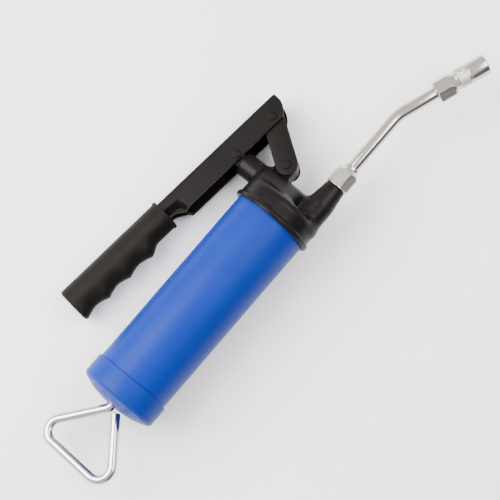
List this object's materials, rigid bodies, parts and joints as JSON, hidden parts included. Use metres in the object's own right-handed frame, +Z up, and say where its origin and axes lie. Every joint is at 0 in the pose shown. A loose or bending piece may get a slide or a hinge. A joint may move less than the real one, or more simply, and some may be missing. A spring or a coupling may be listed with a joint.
{
  "type": "grease gun",
  "caption": "Hand lever grease gun: tubular barrel with a domed cap, bent-wire pull handle, cast head with linked lever, and a bent metal spout ending in a coupler.",
  "frame": {"origin": "on the floor under the middle of the gun's bounding box, the gun lying on its side", "axes": "+X along the barrel towards the spout, +Y across the barrel towards the lever, +Z up; the gun is rolled about +X until its grip rests on the floor"},
  "size_m": [0.4288, 0.1332, 0.0672],
  "materials": {
    "blue_paint": "semi-gloss blue powder coat on steel",
    "black_paint": "semi-gloss black paint on steel",
    "black_casting": "semi-gloss black paint on a casting",
    "grip_plastic": "satin black moulded plastic",
    "plated_steel": "bright nickel-chrome plate",
    "plain_steel": "ground steel",
    "spring_steel": "oiled spring wire",
    "rubber": "oil-proof rubber"
  },
  "bodies": {
    "gun": {"barrel": "blue_paint", "coupler_body": "plated_steel", "coupler_sleeve": "plated_steel", "end_cap": "blue_paint", "head": "black_casting", "head_gasket": "rubber", "lug_pin": "black_paint", "plunger_packing": "rubber", "spout_nut": "plated_steel", "spout_pipe": "plated_steel", "spout_washer": "plated_steel"},
    "lever": {"lever": "black_paint", "lever_grip": "grip_plastic", "lever_pin": "black_paint", "plunger_pin": "black_paint"},
    "links": {"link_near": "black_paint", "link_far": "black_paint"},
    "plunger": {"plunger": "plain_steel"},
    "pull_rod": {"pull_rod": "plated_steel", "follower_plate": "plain_steel", "follower_cup": "rubber", "follower_washer": "plain_steel", "follower_nut": "plain_steel", "follower_spring": "spring_steel"},
    "check_ball": {"check_ball": "plain_steel", "check_spring": "spring_steel"},
    "jaws": {"coupler_jaws": "plain_steel", "coupler_seal": "rubber", "coupler_spring": "spring_steel"}
  },
  "joints": [
    {"name": "lever_swing", "type": "hinge", "parent": "links", "child": "lever", "pos_m": [0.08044, 0.03166, 0.01903], "axis": [0, 0.2931, 0.9561], "range_deg": [-27, 3.5]},
    {"name": "link_swing", "type": "hinge", "parent": "gun", "child": "links", "pos_m": [0.05874, 0.0002, 0.02868], "axis": [0, 0.2931, 0.9561], "range_deg": [-0.8, 5.3]},
    {"name": "plunger_slide", "type": "slide", "parent": "gun", "child": "plunger", "axis": [0, 0.9561, -0.2931], "range_m": [-0.0022, 0.0166]},
    {"name": "rod_pull", "type": "slide", "parent": "gun", "child": "pull_rod", "axis": [-1, 0, 0], "range_m": [0, 0.11], "stiffness_N_per_m": 350, "springref_m": -0.03, "deforming": ["follower_spring"]},
    {"name": "ball_lift", "type": "slide", "parent": "gun", "child": "check_ball", "axis": [1, 0, 0], "range_m": [0, 0.0012], "stiffness_N_per_m": 120, "springref_m": -0.001, "deforming": ["check_spring"]},
    {"name": "jaw_push", "type": "slide", "parent": "gun", "child": "jaws", "axis": [-0.9426, 0.3191, -0.0978], "range_m": [0, 0.001], "stiffness_N_per_m": 1500, "springref_m": -0.001, "deforming": ["coupler_spring"]}
  ],
  "couplings": [
    {"joint": "link_swing", "follows": "lever_swing", "ratio": -0.1919},
    {"joint": "plunger_slide", "follows": "lever_swing", "m_per_rad": -0.03484}
  ]
}
